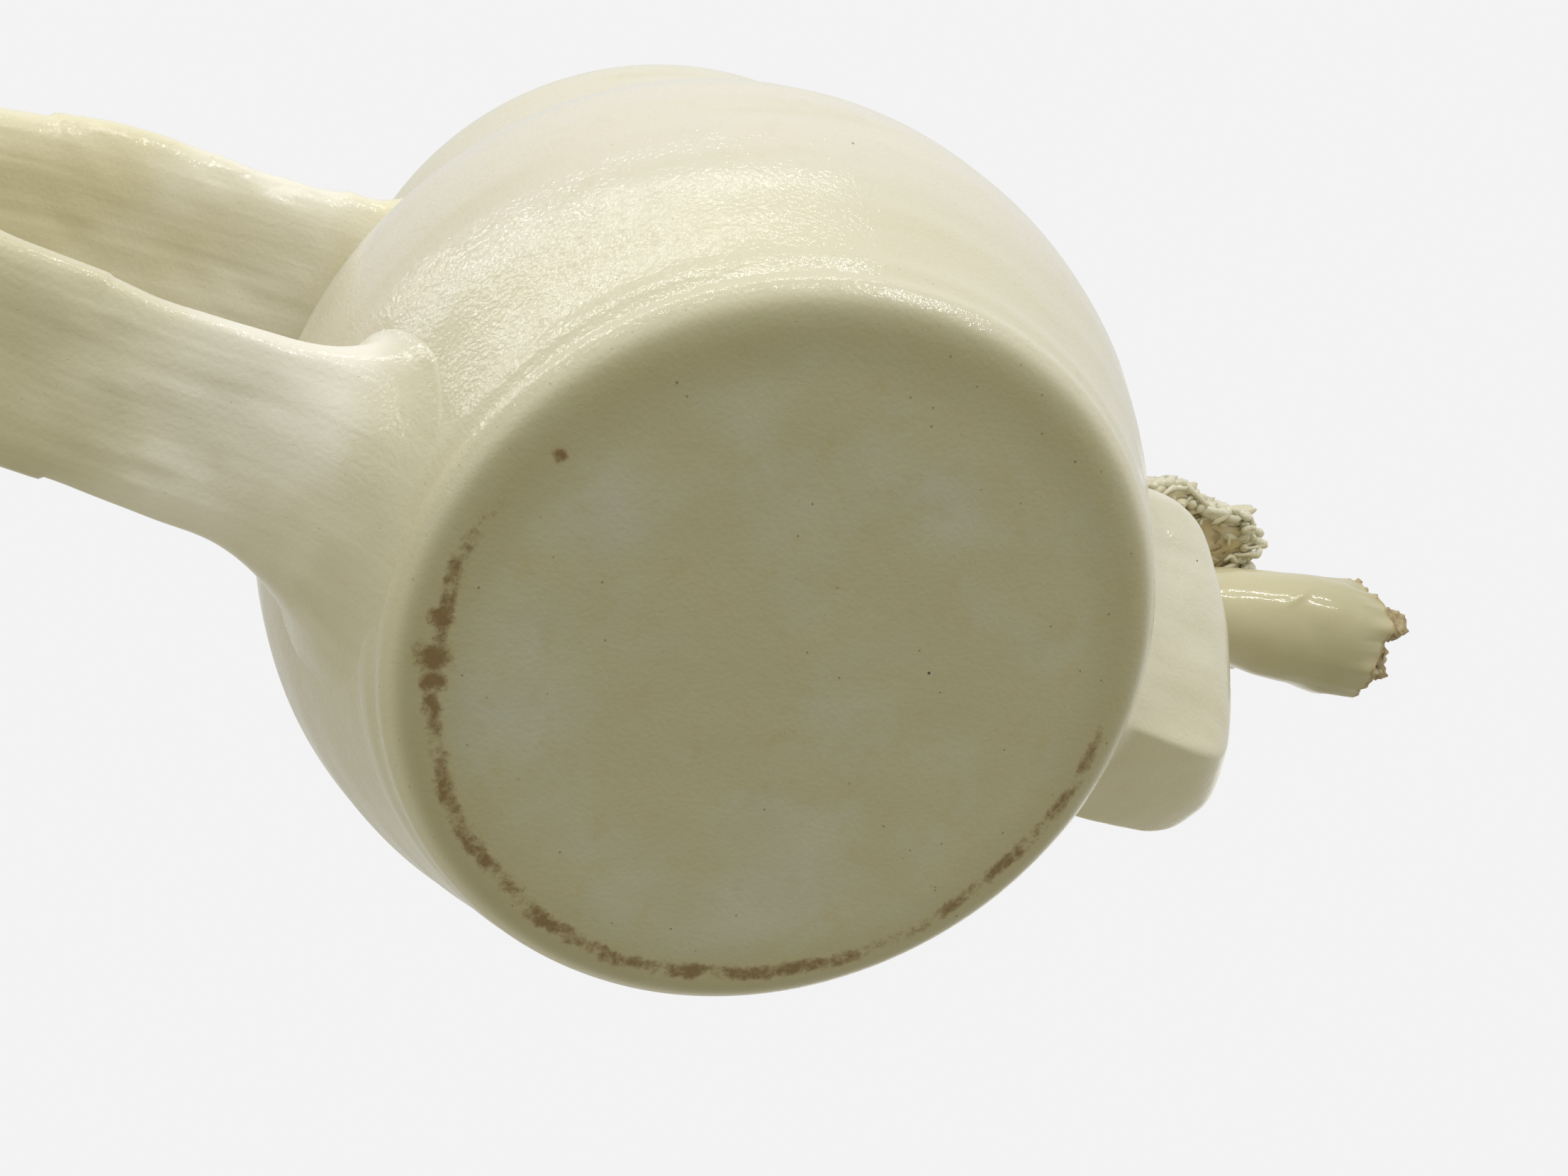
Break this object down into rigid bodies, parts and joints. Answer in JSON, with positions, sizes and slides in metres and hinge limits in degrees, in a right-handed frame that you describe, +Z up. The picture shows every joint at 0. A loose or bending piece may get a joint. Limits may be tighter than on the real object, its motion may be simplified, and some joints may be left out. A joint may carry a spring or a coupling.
{
  "type": "face mug",
  "caption": "Hand-thrown ceramic mug with a modelled face, a strand moustache, a clay roll held in the mouth and a pulled strap handle.",
  "frame": {"origin": "centre of the flat base that the mug stands on, at the height of the table", "axes": "+Z up along the mug's axis, the face looks along -Y, the handle is at +Y, and the figure's own left is at +X"},
  "size_m": [0.0968, 0.193, 0.094],
  "materials": {
    "glaze": "semi-gloss cream glaze with fine dark specks and pinholes",
    "pale_glaze": "glossy pale cream glaze",
    "leaf_glaze": "semi-gloss cream glaze, thin at torn edges",
    "bare_clay": "matt tan clay with thin glaze"
  },
  "bodies": {
    "root": {"mug_body": "glaze", "handle_strap": "glaze", "chin": "glaze", "lower_lip": "glaze", "upper_lip": "glaze", "cigar_wrapper": "leaf_glaze", "cigar_filler": "bare_clay", "nose": "glaze", "moustache_left": "glaze", "moustache_right": "glaze", "eyeball_left": "pale_glaze", "eyeball_right": "pale_glaze", "upper_eyelid_left": "glaze", "upper_eyelid_right": "glaze", "lower_eyelid_left": "glaze", "lower_eyelid_right": "glaze", "brow_left": "glaze", "brow_right": "glaze"}
  },
  "joints": []
}
